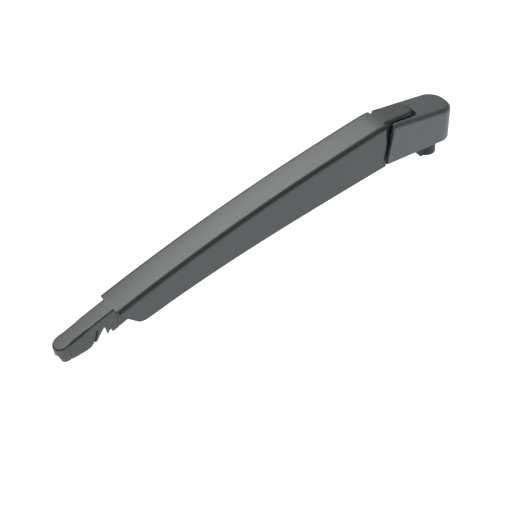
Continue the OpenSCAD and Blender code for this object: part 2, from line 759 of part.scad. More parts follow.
// Tube of the spring's wire along a route of [point, reference] pairs
module wire_tube(route, r, facets) {
    count = len(route);
    tangent = function (i)
        let (a = route[max(i - 1, 0)][0], b = route[min(i + 1, count - 1)][0]) (b - a) / norm(b - a);
    rows = [for (i = [0:count - 1])
        let (t = tangent(i), ref = route[i][1], n0 = ref - (ref * t) * t, n = n0 / norm(n0), b = cross(t, n))
        for (j = [0:facets - 1]) let (a = 360 * j / facets)
            route[i][0] + r * (cos(a) * n + sin(a) * b)];
    sides = [for (i = [0:count - 2]) for (j = [0:facets - 1])
        let (k = (j + 1) % facets, a0 = i * facets, b0 = a0 + facets)
        each [[a0 + j, b0 + k, a0 + k], [a0 + j, b0 + j, b0 + k]]];
    caps = [[for (j = [0:facets - 1]) j], [for (j = [facets - 1:-1:0]) (count - 1) * facets + j]];
    polyhedron(points = rows, faces = concat(sides, caps), convexity = 10);
}

// Spring between the link's end hole and the spring pin
module tension_spring() {
    length = norm(spring_run) - link_length;
    color(bright_steel)
        translate([link_end[0], 0, link_end[1]])
            rotate([0, -spring_tilt, 0])
                wire_tube(spring_route(length), wire_radius, 7);
}

// Bowed steel link with a hole at each end
module hook_link() {
    half = link_breadth / 2;
    color(bright_steel)
        translate([link_pin_x, 0, link_pin_z])
            rotate([0, -spring_tilt, 0])
                difference() {
                    side_solid(-link_thickness / 2, link_thickness / 2)
                        link_profile(half);
                    cross_cylinder([0, 0], link_pin_radius + running_fit, 2 * link_thickness);
                    cross_cylinder([link_length, 0], wire_radius + 0.55, 2 * link_thickness);
                }
}

// Side profile of the link, a bowed strip with round ends
module link_profile(half) {
    bow_radius = (link_length^2 / 4 + link_bow^2) / (2 * link_bow);
    centre = [link_length / 2, bow_radius - link_bow];
    sweep = atan2(link_length / 2, centre[1]);
    union() {
        circle(r = half);
        translate([link_length, 0])
            circle(r = half);
        polygon(concat(
            arc(centre, bow_radius + half, 270 - sweep, 270 + sweep, 20),
            arc(centre, bow_radius - half, 270 + sweep, 270 - sweep, 20)));
    }
}

// Roll pin that holds the link in the casting's fork
module link_pin() {
    color(bright_steel)
        cross_cylinder(link_pin_at, link_pin_radius, web_width);
}

// Pin across the arm that holds the far end of the spring
module spring_pin() {
    color(bright_steel)
        cross_cylinder(spring_pin_at, spring_pin_radius, arm_width - arm_wall);
}

hub_casting();
spindle_sleeve();
hinge_pin();
hinge_bush_left();
hinge_bush_right();
arm_moulding();
spindle_cap();
tension_spring();
hook_link();
link_pin();
spring_pin();
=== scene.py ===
import json
import math

import bmesh
import bpy
import numpy as np
from mathutils import Matrix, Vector
from mathutils.geometry import tessellate_polygon


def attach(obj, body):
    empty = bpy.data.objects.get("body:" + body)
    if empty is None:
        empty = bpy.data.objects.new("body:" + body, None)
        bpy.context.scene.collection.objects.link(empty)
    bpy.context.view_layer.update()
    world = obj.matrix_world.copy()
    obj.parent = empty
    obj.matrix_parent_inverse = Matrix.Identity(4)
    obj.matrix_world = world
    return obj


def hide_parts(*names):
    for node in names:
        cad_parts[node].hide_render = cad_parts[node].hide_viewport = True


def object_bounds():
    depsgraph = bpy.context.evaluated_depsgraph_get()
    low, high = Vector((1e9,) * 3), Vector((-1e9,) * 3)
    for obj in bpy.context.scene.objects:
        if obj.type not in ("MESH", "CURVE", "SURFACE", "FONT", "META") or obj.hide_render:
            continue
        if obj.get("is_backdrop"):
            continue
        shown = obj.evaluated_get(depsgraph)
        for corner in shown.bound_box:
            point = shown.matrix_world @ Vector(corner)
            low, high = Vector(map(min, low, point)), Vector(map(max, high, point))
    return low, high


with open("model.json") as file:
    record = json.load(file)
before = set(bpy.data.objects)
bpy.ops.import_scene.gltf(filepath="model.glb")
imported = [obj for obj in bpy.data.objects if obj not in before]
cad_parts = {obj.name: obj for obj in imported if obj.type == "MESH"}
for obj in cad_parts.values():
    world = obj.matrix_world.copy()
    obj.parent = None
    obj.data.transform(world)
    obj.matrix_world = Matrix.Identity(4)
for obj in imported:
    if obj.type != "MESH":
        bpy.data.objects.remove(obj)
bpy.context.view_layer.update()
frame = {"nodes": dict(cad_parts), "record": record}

# Shape values are in millimetres and degrees, and a mesh is made in metres.
# Side views are in (x, z), plans in (x, y). A joint's place is kept as (x, z).
jointAt = {joint["name"]: np.round(1000 * np.array(joint["pos_m"]), 4)[[0, 2]]
           for joint in frame["record"]["behaviour"]["joints"]}
hingeAt = jointAt["arm_lift"]
linkPinAt = jointAt["link_swing"]

armShape = {
    "shoulderX": 48.4, "shoulderZ": 45.9, "shoulderSlope": 10.5,    # top line at the hinge
    "noseX": 319.0, "noseZ": -33.2, "noseSlope": 22.4,              # top line at the blade end
    "bladeX": 274.8, "bladeHalf": 7.0,                              # start and half width of the blade tongue
    "bladeBack": 0.8, "bladeSkew": 0.9,                             # how far the roof's end leans back there
    "tongueLength": 29.2, "tongueDrop": 0.1,                        # hinge tongue behind the shoulder
    "shoulderEase": 8.0, "shoulderLift": 0.45, "liftRun": 50.0,     # soft bend of the top at the shoulder
    "halfWidth": 12.8, "edgeRadius": 3.9, "crown": 0.22,            # section
    "wall": 2.0, "roof": 2.2, "rim": 0.35,
    "wallHinge": 34.6, "wallTip": 23.1,                             # depth of the walls at both ends
    "bellyBow": 5.0, "bellySkew": 0.4,                              # bow of their lower edge
    "endRadius": 50.0, "endHeight": 33.0, "endSet": 0.7,            # convex hinge end of the walls
    "endBlend": 6.0, "shoulderBack": 1.7,
    "footX": 46.9, "footHeight": 2.4, "flare": 4.6,                 # plumb foot below it
    "slantLength": 18.6, "slantCorner": 4.8, "heelRun": 1.4,        # slanted blade end of the walls
    "slantHead": 0.8,
    "drawAngle": 8.0,                                               # draw direction under the blade tongue
}


def topLine(x):
    # Cubic from the hinge shoulder to the nose, through both heights with both slopes
    a = armShape
    x = np.asarray(x, float)
    run = a["noseX"] - a["shoulderX"]
    t = (x - a["shoulderX"]) / run
    s0, s1 = -math.tan(math.radians(a["shoulderSlope"])), -math.tan(math.radians(a["noseSlope"]))
    return ((2 * t**3 - 3 * t**2 + 1) * a["shoulderZ"] + (t**3 - 2 * t**2 + t) * run * s0
            + (3 * t**2 - 2 * t**3) * a["noseZ"] + (t**3 - t**2) * run * s1)


def crest(x):
    # Top line carried on over the hinge tongue, the bend at the shoulder eased by a parabola
    a = armShape
    away = np.asarray(x, float) - a["shoulderX"]
    rise = a["tongueDrop"] / a["tongueLength"]
    bend = math.tan(math.radians(a["shoulderSlope"])) + rise
    line = np.where(away < 0, a["shoulderZ"] + rise * away, topLine(x))
    out = np.clip(away / a["liftRun"], 0, 1)
    line = line + a["shoulderLift"] * (1 - out**2 * (3 - 2 * out))
    return line - bend * np.maximum(a["shoulderEase"] - np.abs(away), 0)**2 / (4 * a["shoulderEase"])


def roofHeight(x, y):
    # The eased top line less a parabola across the roof
    a = armShape
    return crest(x) - a["crown"] * (y / (a["halfWidth"] - a["edgeRadius"]))**2


def lowLine(x):
    # Straight line between the two wall depths, bowed up by a parabola that leans towards the blade end
    a = armShape
    t = (np.asarray(x, float) - a["shoulderX"]) / (a["bladeX"] - a["shoulderX"])
    hingeEnd = topLine(a["shoulderX"]) - a["wallHinge"]
    bladeEnd = topLine(a["bladeX"]) - a["wallTip"]
    bow = 4 * a["bellyBow"] * t * (1 - t) * (1 + a["bellySkew"] * (2 * t - 1))
    return hingeEnd * (1 - t) + bladeEnd * t + bow


def belowTop(x, depth):
    # Point at a depth under the top line, along the mould's draw direction
    d = math.radians(armShape["drawAngle"])
    x, depth = np.broadcast_arrays(np.asarray(x, float), np.asarray(depth, float))
    return np.stack([x - depth * math.sin(d), topLine(x) - depth * math.cos(d)], -1)


def arcPoints(centre, radius, start, end, count):
    # Points of a circle between two angles in degrees
    a = np.radians(np.linspace(start, end, count))
    return np.stack([centre[0] + radius * np.cos(a), centre[1] + radius * np.sin(a)], -1)


def circlePoints(centre, radius, count):
    # A whole circle, its last point left out because the outline closes by itself
    return arcPoints(centre, radius, 0, 360, count + 1)[:-1]


def resample(points, count):
    # Same curve with evenly spaced points, by its length so far
    points = np.asarray(points, float)
    step = np.r_[0, np.cumsum(np.linalg.norm(np.diff(points, axis=0), axis=1))]
    at = np.linspace(0, step[-1], count)
    return np.stack([np.interp(at, step, points[:, k]) for k in range(points.shape[1])], -1)


crease = {"solid": 32, "shell": 60}    # degrees past which an edge shows as a crease
weld = {"seam": 1e-7, "sliver": 1e-8}    # metres within which points merge and faces are dropped
armHome = {"body": "arm", "slotName": "arm_plastic", "stands": ["arm_moulding"]}
capHome = {"body": "cap", "slotName": "cap_plastic", "stands": ["spindle_cap"]}
springHome = {"body": "arm", "slotName": "spring_steel", "stands": ["tension_spring"]}


def makeShell(name, points, faces, material, body, slotName, stands, sharp=crease["shell"]):
    # Points in millimetres, faces as lists of numbers; the object stays at the origin
    mesh = bpy.data.meshes.new(name)
    mesh.from_pydata((np.asarray(points, float) / 1000).tolist(), [], [list(f) for f in faces])
    mesh.validate()
    mesh.polygons.foreach_set("use_smooth", np.ones(len(mesh.polygons), bool))
    mesh.set_sharp_from_angle(angle=math.radians(sharp))
    mesh.materials.append(material)
    piece = bpy.data.objects.new(name, mesh)
    bpy.context.scene.collection.objects.link(piece)
    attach(piece, body)
    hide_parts(*stands)
    return piece


def makeSolid(name, points, faces, material, body, slotName, stands):
    # A closed piece: its seams are merged and its faces turned to point outwards
    piece = makeShell(name, points, faces, material, body, slotName, stands, crease["solid"])
    mesh = bmesh.new()
    mesh.from_mesh(piece.data)
    bmesh.ops.remove_doubles(mesh, verts=mesh.verts, dist=weld["seam"])
    bmesh.ops.dissolve_degenerate(mesh, edges=mesh.edges, dist=weld["sliver"])
    bmesh.ops.recalc_face_normals(mesh, faces=mesh.faces)
    mesh.to_mesh(piece.data)
    mesh.free()
    piece.data.set_sharp_from_angle(angle=math.radians(crease["solid"]))
    return piece


rimBevel = {"segments": 2, "angle": 38}


def finishShell(piece, thickness, edge):
    # Wall thickness inwards, then small rounded rims
    wall = piece.modifiers.new("wall", "SOLIDIFY")
    wall.thickness = thickness / 1000
    wall.offset = -1
    wall.use_even_offset = True
    bevel = piece.modifiers.new("edges", "BEVEL")
    bevel.width = edge / 1000
    bevel.segments = rimBevel["segments"]
    bevel.limit_method = "ANGLE"
    bevel.angle_limit = math.radians(rimBevel["angle"])
    bevel.harden_normals = True


def gridFaces(rows, columns, closeColumns=False, offset=0):
    # Quads between neighbouring rows and columns of a grid of points, whose numbers start at the offset.
    # Closed columns join the last point of a row to its first.
    spans = columns if closeColumns else columns - 1
    i, j = np.meshgrid(np.arange(rows - 1), np.arange(spans), indexing="ij")
    k = (j + 1) % columns
    quads = np.stack([i * columns + j, i * columns + k, (i + 1) * columns + k, (i + 1) * columns + j], -1)
    return (offset + quads).reshape(-1, 4)


def lidFaces(loops, index):
    # Triangles that fill outlines with holes; index holds the points' numbers in the mesh
    flat = [np.column_stack([loop, np.zeros(len(loop))]).tolist() for loop in loops]
    return np.asarray(index)[np.array(tessellate_polygon(flat))].tolist()


def insetLoop(loop, amount):
    # Moves each point of a closed outline inwards along the mean normal of its two sides, further at corners,
    # up to twice as far
    tiny = 1e-12    # keeps doubled points from dividing by nothing
    ahead, behind = np.roll(loop, -1, 0) - loop, loop - np.roll(loop, 1, 0)
    ahead /= np.linalg.norm(ahead, axis=1)[:, None] + tiny
    behind /= np.linalg.norm(behind, axis=1)[:, None] + tiny
    normal = np.stack([-(ahead + behind)[:, 1], (ahead + behind)[:, 0]], -1)
    normal /= np.linalg.norm(normal, axis=1)[:, None] + tiny
    x, y = loop[:, 0], loop[:, 1]
    turn = np.sign(np.sum(x * np.roll(y, -1) - np.roll(x, -1) * y))
    lean = np.clip(np.sum(normal * np.stack([-ahead[:, 1], ahead[:, 0]], -1), axis=1), 0.5, 1)
    return loop + turn * amount * normal / lean[:, None]


def prismMesh(outline, holes, low, high, edge, place):
    # Closed prism of an outline with holes between two levels, each rim cut back by a small chamfer.
    # place turns arrays (a, b, level) into points.
    points, faces, inners, starts = [], [], [], []
    count = 0
    for number, loop in enumerate([outline, *holes]):
        loop = np.asarray(loop, float)
        inner = insetLoop(loop, edge if number == 0 else -edge)
        for ring, level in ((inner, low), (loop, low + edge), (loop, high - edge), (inner, high)):
            points.append(place(ring[:, 0], ring[:, 1], np.full(len(ring), level)))
        faces.extend(gridFaces(4, len(loop), True, count).tolist())
        inners.append(inner)
        starts.append(count)
        count += 4 * len(loop)
    for ringNumber in (0, 3):    # the lowest and the highest of a loop's four rings
        index = [start + ringNumber * len(loop) + np.arange(len(loop)) for start, loop in zip(starts, inners)]
        faces.extend(lidFaces(inners, np.concatenate(index)))
    return np.concatenate(points), faces


def sideways(x, z, y):
    # Outline in the side view, levels across
    return np.stack([x, y, z], -1)


def lengthways(y, z, x):
    # Outline in the view along the arm, levels along it
    return np.stack([x, y, z], -1)


def bothSides(outline, holes, inner, outer, edge):
    # The same slab on the +Y side and on the -Y side
    return [prismMesh(outline, holes, low, high, edge, sideways)
            for low, high in ((inner, outer), (-outer, -inner))]


def mergeMeshes(parts):
    # Several (points, faces) as one
    points, faces, count = [], [], 0
    for partPoints, partFaces in parts:
        points.append(partPoints)
        faces.extend([[i + count for i in face] for face in partFaces])
        count += len(partPoints)
    return np.concatenate(points), faces


class Link:
    # A socket on which Python arithmetic adds Math nodes

    def __init__(self, socket, tree):
        self.socket, self.tree = socket, tree

    def math(self, operation, other, flip=False):
        # Adds one Math node; flip puts the other value first
        node = self.tree.nodes.new("ShaderNodeMath")
        node.operation = operation
        for slot, value in zip((1, 0) if flip else (0, 1), (self, other)):
            if isinstance(value, Link):
                self.tree.links.new(value.socket, node.inputs[slot])
            else:
                node.inputs[slot].default_value = value
        return Link(node.outputs[0], self.tree)

    def __add__(self, other):
        return self.math("ADD", other)

    def __radd__(self, other):
        return self.math("ADD", other, True)

    def __sub__(self, other):
        return self.math("SUBTRACT", other)

    def __rsub__(self, other):
        return self.math("SUBTRACT", other, True)

    def __mul__(self, other):
        return self.math("MULTIPLY", other)

    def __rmul__(self, other):
        return self.math("MULTIPLY", other, True)


class Finish:
    # A material under construction

    def __init__(self, name):
        self.material = bpy.data.materials.new(name)
        self.material.use_nodes = True
        self.tree = self.material.node_tree
        self.tree.nodes.clear()
        self.shader = self.tree.nodes.new("ShaderNodeBsdfPrincipled")
        output = self.tree.nodes.new("ShaderNodeOutputMaterial")
        self.tree.links.new(self.shader.outputs[0], output.inputs[0])

    def node(self, kind, settings=None, inputs=None, output=0):
        # Adds a node: its settings first, then the values or links of its sockets
        node = self.tree.nodes.new(kind)
        for key, value in (settings or {}).items():
            setattr(node, key, value)
        for key, value in (inputs or {}).items():
            if isinstance(value, Link):
                self.tree.links.new(value.socket, node.inputs[key])
            else:
                node.inputs[key].default_value = value
        return Link(node.outputs[output], self.tree)

    def place(self):
        # Object coordinates
        return self.node("ShaderNodeTexCoord", output=3)

    def noise(self, scale, detail, roughness):
        # Noise on object coordinates
        return self.node("ShaderNodeTexNoise", {}, {
            "Vector": self.place(), "Scale": scale, "Detail": detail, "Roughness": roughness})

    def mixColour(self, factor, first, second):
        # Sockets 0, 6 and 7 are a Mix node's factor and its two colours
        return self.node("ShaderNodeMix", {"data_type": "RGBA"}, {0: factor, 6: first, 7: second}, output=2)

    def bump(self, height, strength, distance):
        # A height as the shader's normal
        return self.node("ShaderNodeBump", {}, {"Height": height, "Strength": strength, "Distance": distance})

    def feed(self, **sockets):
        # Values and links into the shader, by socket name with _ for a space
        for key, value in sockets.items():
            socket = self.shader.inputs[key.replace("_", " ")]
            if isinstance(value, Link):
                self.tree.links.new(value.socket, socket)
            else:
                socket.default_value = value
        return self.material


# Depths of bumps are in metres. A noise has a scale in features per metre, its detail and its roughness.
armPlasticLook = {
    "base": (0.040, 0.044, 0.046, 1), "warm": (0.046, 0.048, 0.048, 1), "mottle": (420, 4.0, 0.6),
    "grain": (5200, 2.0, 0.6), "grainDepth": 0.00002, "roughness": 0.40, "mottleRough": 0.10,
}
capPlasticLook = {
    "base": (0.084, 0.091, 0.095, 1), "warm": (0.091, 0.096, 0.098, 1), "mottle": (380, 4.0, 0.6),
    "grain": (5200, 2.0, 0.6), "grainDepth": 0.00004, "roughness": 0.46, "mottleRough": 0.10,
}
# Ribs, seats and bosses inside the arm and the cap: a near-black base colour, far darker than the arm's and
# the cap's own plastic, as painted shade for their shadowed insides
innerPaintedShadeLook = {
    "base": (0.014, 0.015, 0.016, 1), "warm": (0.019, 0.020, 0.020, 1), "mottle": (260, 4.0, 0.6),
    "grain": (2600, 2.0, 0.6), "grainDepth": 0.00003, "roughness": 0.50, "mottleRough": 0.12,
}
mouldLook = {"cloud": (28, 2.0, 0.5), "colourMottle": 0.6, "bumpGrain": 0.75, "bump": 0.2,
             "grainRough": 0.06, "ior": 1.54, "specular": 0.5}    # what the three plastics share


def mouldedPlastic(name, look):
    # Satin plastic: a fine spark-eroded grain, a slow mottle in colour and gloss, and faint clouds
    shared = mouldLook
    finish = Finish(name)
    grain, mottle = finish.noise(*look["grain"]), finish.noise(*look["mottle"])
    cloud = finish.noise(*shared["cloud"])
    mix = mottle * shared["colourMottle"] + cloud * (1 - shared["colourMottle"])
    colour = finish.mixColour(mix, look["base"], look["warm"])
    rough = (mottle - 0.5) * look["mottleRough"] + (grain - 0.5) * shared["grainRough"] + look["roughness"]
    height = grain * shared["bumpGrain"] + mottle * (1 - shared["bumpGrain"])
    bump = finish.bump(height, shared["bump"], look["grainDepth"])
    return finish.feed(Base_Color=colour, Roughness=rough, Normal=bump, IOR=shared["ior"],
                       Specular_IOR_Level=shared["specular"])


castingLook = {
    "dark": (0.010, 0.011, 0.012, 1), "light": (0.020, 0.021, 0.022, 1),
    "speck": (3800, 3.0, 0.7), "speckRough": 0.20, "cloud": (130, 4.0, 0.6), "cloudRough": 0.15,
    "roughness": 0.48, "bumpSpeck": 0.6, "bump": 0.5, "bumpDepth": 0.00012, "ior": 1.5, "specular": 0.32,
}


def coatedCasting(look):
    # Black-painted zinc-aluminium casting: blast speckle in the surface, clouds and dull patches in the paint
    finish = Finish("coatedCasting")
    speck, cloud = finish.noise(*look["speck"]), finish.noise(*look["cloud"])
    colour = finish.mixColour(cloud, look["dark"], look["light"])
    rough = (speck - 0.5) * look["speckRough"] + (cloud - 0.5) * look["cloudRough"] + look["roughness"]
    height = speck * look["bumpSpeck"] + cloud * (1 - look["bumpSpeck"])
    bump = finish.bump(height, look["bump"], look["bumpDepth"])
    return finish.feed(Base_Color=colour, Roughness=rough, Normal=bump, IOR=look["ior"],
                       Specular_IOR_Level=look["specular"])


steelLook = {
    "stretch": (900, 60, 900), "streakScale": 4.0, "streakDetail": 4.0, "streakRough": 0.18,
    "tarnish": (160, 4.0, 0.65), "tarnishTone": 0.72, "bump": 0.25, "bumpDepth": 0.00004,
}
steelTones = {
    "pinSteel": ((0.56, 0.56, 0.57, 1), 0.32), "sleeveSteel": ((0.50, 0.50, 0.51, 1), 0.38),
    "springSteel": ((0.44, 0.44, 0.45, 1), 0.34), "linkSteel": ((0.55, 0.54, 0.52, 1), 0.36),
}    # colour, roughness


def turnedSteel(name, tone, roughness):
    # Ground or drawn steel: fine streaks across the arm, along the pins, and a slight tarnish
    look = steelLook
    finish = Finish(name)
    stretched = finish.node("ShaderNodeMapping", {}, {"Vector": finish.place(), "Scale": look["stretch"]})
    streak = finish.node("ShaderNodeTexNoise", {}, {
        "Vector": stretched, "Scale": look["streakScale"], "Detail": look["streakDetail"]})
    dark = tuple(look["tarnishTone"] * c for c in tone[:3]) + (1,)
    colour = finish.mixColour(finish.noise(*look["tarnish"]), dark, tone)
    rough = (streak - 0.5) * look["streakRough"] + roughness
    bump = finish.bump(streak, look["bump"], look["bumpDepth"])
    return finish.feed(Base_Color=colour, Metallic=1.0, Roughness=rough, Normal=bump)


acetalLook = {
    "dark": (0.020, 0.020, 0.021, 1), "light": (0.032, 0.032, 0.033, 1), "mottle": (500, 3.0, 0.6),
    "mottleRough": 0.12, "roughness": 0.38, "bump": 0.2, "bumpDepth": 0.00004,
}


def bushPlastic(look):
    # Black acetal: smooth and slightly waxy
    finish = Finish("bushPlastic")
    mottle = finish.noise(*look["mottle"])
    colour = finish.mixColour(mottle, look["dark"], look["light"])
    rough = (mottle - 0.5) * look["mottleRough"] + look["roughness"]
    bump = finish.bump(mottle, look["bump"], look["bumpDepth"])
    return finish.feed(Base_Color=colour, Roughness=rough, Normal=bump)


armPlastic = mouldedPlastic("armPlastic", armPlasticLook)
capPlastic = mouldedPlastic("capPlastic", capPlasticLook)
# Near-black plastic for the inside pieces: painted shade
innerPlasticPaintedShade = mouldedPlastic("innerPlasticPaintedShade", innerPaintedShadeLook)
steels = {name: turnedSteel(name, tone, roughness) for name, (tone, roughness) in steelTones.items()}
blackAcetal = bushPlastic(acetalLook)
nodeFinishes = {
    "hub_casting": coatedCasting(castingLook), "spindle_sleeve": steels["sleeveSteel"],
    "hinge_pin": steels["pinSteel"], "link_pin": steels["pinSteel"], "spring_pin": steels["pinSteel"],
    "hook_link": steels["linkSteel"], "hinge_bush_left": blackAcetal, "hinge_bush_right": blackAcetal,
}
for nodeName, material in nodeFinishes.items():
    node = frame["nodes"][nodeName]
    if not node.material_slots:
        node.data.materials.append(material)
    for slot in node.material_slots:
        slot.material = material
print("materials made")

# Arm shell: a U-shaped profile carried along the top line. Each row of the profile has its own start and end,
# so that the rims follow the convex hinge end and the slanted blade end of the side walls.
shellMesh = {"stations": 150, "wallRows": 26, "filletRows": 12, "roofRows": 14,
             "footBias": 1.5, "edgeSoftness": 1.1, "cornerPoints": 60, "endPoints": 400}


def hingeEndX(z):
    # Convex arc at the upper part of the wall's end, a straight flare, and a plumb foot
    a = armShape
    centre = a["shoulderX"] + math.sqrt(a["endRadius"]**2 - (a["shoulderZ"] - a["endHeight"])**2)
    heel = lowLine(a["shoulderX"]) + a["footHeight"]
    low = heel + a["flare"]
    lowX = centre - math.sqrt(a["endRadius"]**2 - (low - a["endHeight"])**2)
    arc = centre - np.sqrt(np.maximum(a["endRadius"]**2 - (z - a["endHeight"])**2, 0))
    flare = a["footX"] + (lowX + a["endSet"] - a["footX"]) * (z - heel) / a["flare"]
    arc = arc + a["endSet"] * np.clip((a["shoulderZ"] - z) / a["endBlend"], 0, 1)
    return np.where(z > low, arc, np.where(z > heel, flare, a["footX"]))


def bladeEndX(share):
    # Where a row at a share of the wall's height meets the blade end: a straight slant whose lower corner is
    # rounded by a quadratic Bezier curve
    a = armShape
    head = np.array([a["bladeX"] - a["bladeBack"] - a["bladeSkew"],
                     topLine(a["bladeX"]) - a["edgeRadius"] * a["slantHead"]])
    foot = np.array([a["bladeX"] - a["slantLength"], lowLine(a["bladeX"] - a["slantLength"])])
    along = (head - foot) / np.linalg.norm(head - foot)
    heelX = foot[0] - a["heelRun"] * a["slantCorner"]
    heel = np.array([heelX, lowLine(heelX)])
    t = np.linspace(0, 1, shellMesh["cornerPoints"])[:, None]
    rounded = (1 - t)**2 * heel + 2 * t * (1 - t) * foot + t**2 * (foot + a["slantCorner"] * along)
    curve = resample(np.vstack([rounded, head]), shellMesh["endPoints"])
    height = topLine(curve[:, 0]) - a["edgeRadius"] - lowLine(curve[:, 0])
    return np.interp(share, (curve[:, 1] - lowLine(curve[:, 0])) / height, curve[:, 0])


def armShellMesh():
    # Rows run up one wall, round a superelliptic edge, over the crowned roof and down the other side.
    # A row has an offset across, a drop below the crest, and a share of the height above the lower edge.
    a, m = armShape, shellMesh
    w, r, k = a["halfWidth"], a["edgeRadius"], a["crown"]
    lift = np.linspace(0, 1, m["wallRows"])**m["footBias"]
    turn = np.radians(np.linspace(0, 90, m["filletRows"] + 2)[1:-1])
    c, s = np.cos(turn)**(1 / m["edgeSoftness"]), np.sin(turn)**(1 / m["edgeSoftness"])
    across = np.linspace(-1, 1, m["roofRows"])
    wall, edge = np.full(len(lift), w), w - r * (1 - c)
    wallDrop, edgeDrop = np.full(len(lift), r + k), k + r * (1 - s)
    left = np.r_[-wall, -edge, across * (w - r), edge[::-1], wall]
    drop = np.r_[wallDrop, edgeDrop, k * across**2, edgeDrop[::-1], wallDrop]
    share = np.r_[lift, np.ones(2 * len(turn) + len(across)), lift[::-1]]
    footZ = lowLine(a["footX"])
    endZ = footZ + share * (a["shoulderZ"] - drop - footZ)
    hingeEnd = hingeEndX(endZ) - a["shoulderBack"] * np.clip(1 - drop / r, 0, 1)
    skew = np.clip((np.abs(left) - a["bladeHalf"]) / (w - a["bladeHalf"]), 0, 1) * a["bladeSkew"]
    bladeEnd = np.where(drop < r, a["bladeX"] - a["bladeBack"] * drop / r - skew, bladeEndX(share))
    u = np.linspace(0, 1, m["stations"])[:, None]
    x = hingeEnd + (bladeEnd - hingeEnd) * u
    low = lowLine(x)
    z = low + share * (crest(x) - drop - low)
    return np.stack([x, np.broadcast_to(left, x.shape), z], -1)


armGrid = armShellMesh()
armFaces = gridFaces(armGrid.shape[0], armGrid.shape[1])[:, ::-1]
armShell = makeShell("armShell", armGrid.reshape(-1, 3), armFaces, armPlastic, **armHome)
finishShell(armShell, armShape["wall"], armShape["rim"])
print("arm shell made")

# Hinge tongue: a plate with rounded corners behind the shoulder, and two ears about the hinge pin
hingeTongue = {
    "half": 8.5, "corner": 5.4, "plate": 2.2, "rim": 1.6,
    "sidePoints": 30, "cornerPoints": 16, "endPoints": 8,
    "earInner": 6.3, "earRadius": 7.0, "earTurn": (-70, -180, 30), "bushRadius": 3.55, "holePoints": 48,
    "sinkBack": 1.0, "sinkFront": 1.1,    # how far the ears' tops lie below the plate's
    "runIn": 20.0, "runPoints": 8, "ribDepth": 6.0, "footAhead": 4.0, "footUp": 1.5, "backDepth": 2.0,
    "chamfer": 0.3,
}
plateMesh = {"ridgeShares": (1, 0.8, 0.6, 0.4, 0.2, 0.08, 0), "rimTurns": (11, 89.75, 8), "lowEdge": 0.3,
             "lowShares": (0, 0.5, 1)}
plateSeat = {"tuck": 9.0, "proud": 0.015, "sunk": 0.1, "inside": 2.0, "outside": 1.0}


def plateLift(inside):
    # A plate starts level with the roof, lies a hair above the shell's rim, and then dips under the roof
    p = plateSeat
    return np.interp(inside, [-p["outside"], p["inside"], p["tuck"]], [0, p["proud"], -p["sunk"]])


def rimmedPlate(outline, ridge, heightOf, thickness, edge, lean):
    # Rings of a closed outline: from the ridge line over the top, round a quarter circle at the rim, down the
    # side, and back to the ridge below. Towards the ridge, y shrinks to 0 and x only beyond the ridge's ends.
    m = plateMesh
    same = np.ones(len(outline))
    rings = [(edge, 0 * same, share) for share in m["ridgeShares"]]
    rings += [(edge * (1 - math.sin(turn)), edge * (1 - math.cos(turn)), 0)
              for turn in np.radians(np.linspace(*m["rimTurns"]))]
    rings += [(0 * same, (thickness - m["lowEdge"]) * same, 0)]
    rings += [(m["lowEdge"] * same, thickness * same, share) for share in m["lowShares"]]
    rows = []
    for inset, depth, share in rings:
        ring = insetLoop(outline, inset[:, None])
        middle = np.clip(ring[:, 0], *ridge)
        x, y = middle + (ring[:, 0] - middle) * (1 - share), ring[:, 1] * (1 - share)
        rows.append(np.stack([x - depth * math.sin(lean), y, heightOf(x, y) - depth * math.cos(lean)], -1))
    return np.concatenate(rows), gridFaces(len(rows), len(outline), True)


def hingePlateOutline():
    # Rounded rectangle in plan; its far end lies under the roof
    h, a = hingeTongue, armShape
    w, r, count = h["half"], h["corner"], h["cornerPoints"]
    x0, x1 = a["shoulderX"] - a["tongueLength"], a["shoulderX"] + plateSeat["tuck"]
    side = resample([[x1, w], [x0 + r, w]], h["sidePoints"])[:-1]
    corners = [arcPoints((x0 + r, w - r), r, 90, 180, count), arcPoints((x0 + r, r - w), r, 180, 270, count)]
    end = resample([[x1, -w], [x1, w]], h["endPoints"])[1:-1]
    return np.vstack([side, *corners, (side * [1, -1])[::-1], end])


def hingePlateTop(x, y):
    # The roof's height, carried back over the hinge
    return roofHeight(x, y) + plateLift(x - armShape["shoulderX"])


hingeOutline = hingePlateOutline()
hingeRidge = (armShape["shoulderX"] - armShape["tongueLength"] + hingeTongue["corner"], np.inf)
hingeRim = np.full(len(hingeOutline), hingeTongue["rim"])
hingePlate = rimmedPlate(hingeOutline, hingeRidge, hingePlateTop, hingeTongue["plate"], hingeRim, 0.0)
makeSolid("hingePlate", *hingePlate, armPlastic, **armHome)


def earOutline():
    # Side view of an ear: under the tongue and the roof, then down to a round end about the hinge pin
    h, a = hingeTongue, armShape
    back, backZ = a["shoulderX"] - a["tongueLength"] + h["corner"], a["shoulderZ"] - a["tongueDrop"]
    runX = np.linspace(a["shoulderX"], a["shoulderX"] + h["runIn"], h["runPoints"])[1:]
    return np.vstack([
        [[back, backZ - h["sinkBack"]], [a["shoulderX"], a["shoulderZ"] - h["sinkFront"]]],
        np.column_stack([runX, topLine(runX) - h["sinkFront"]]),
        [[runX[-1], topLine(runX[-1]) - h["ribDepth"]]],
        [[a["shoulderX"] + h["footAhead"], hingeAt[1] - h["earRadius"] + h["footUp"]]],
        arcPoints(hingeAt, h["earRadius"], *h["earTurn"]),
        [[back, backZ - h["plate"] - h["backDepth"]]],
    ])


earHole = circlePoints(hingeAt, hingeTongue["bushRadius"], hingeTongue["holePoints"])
ears = bothSides(earOutline(), [earHole], hingeTongue["earInner"], hingeTongue["half"],
                 hingeTongue["chamfer"])
makeSolid("hingeEars", *mergeMeshes(ears), armPlastic, **armHome)
print("hinge tongue made")

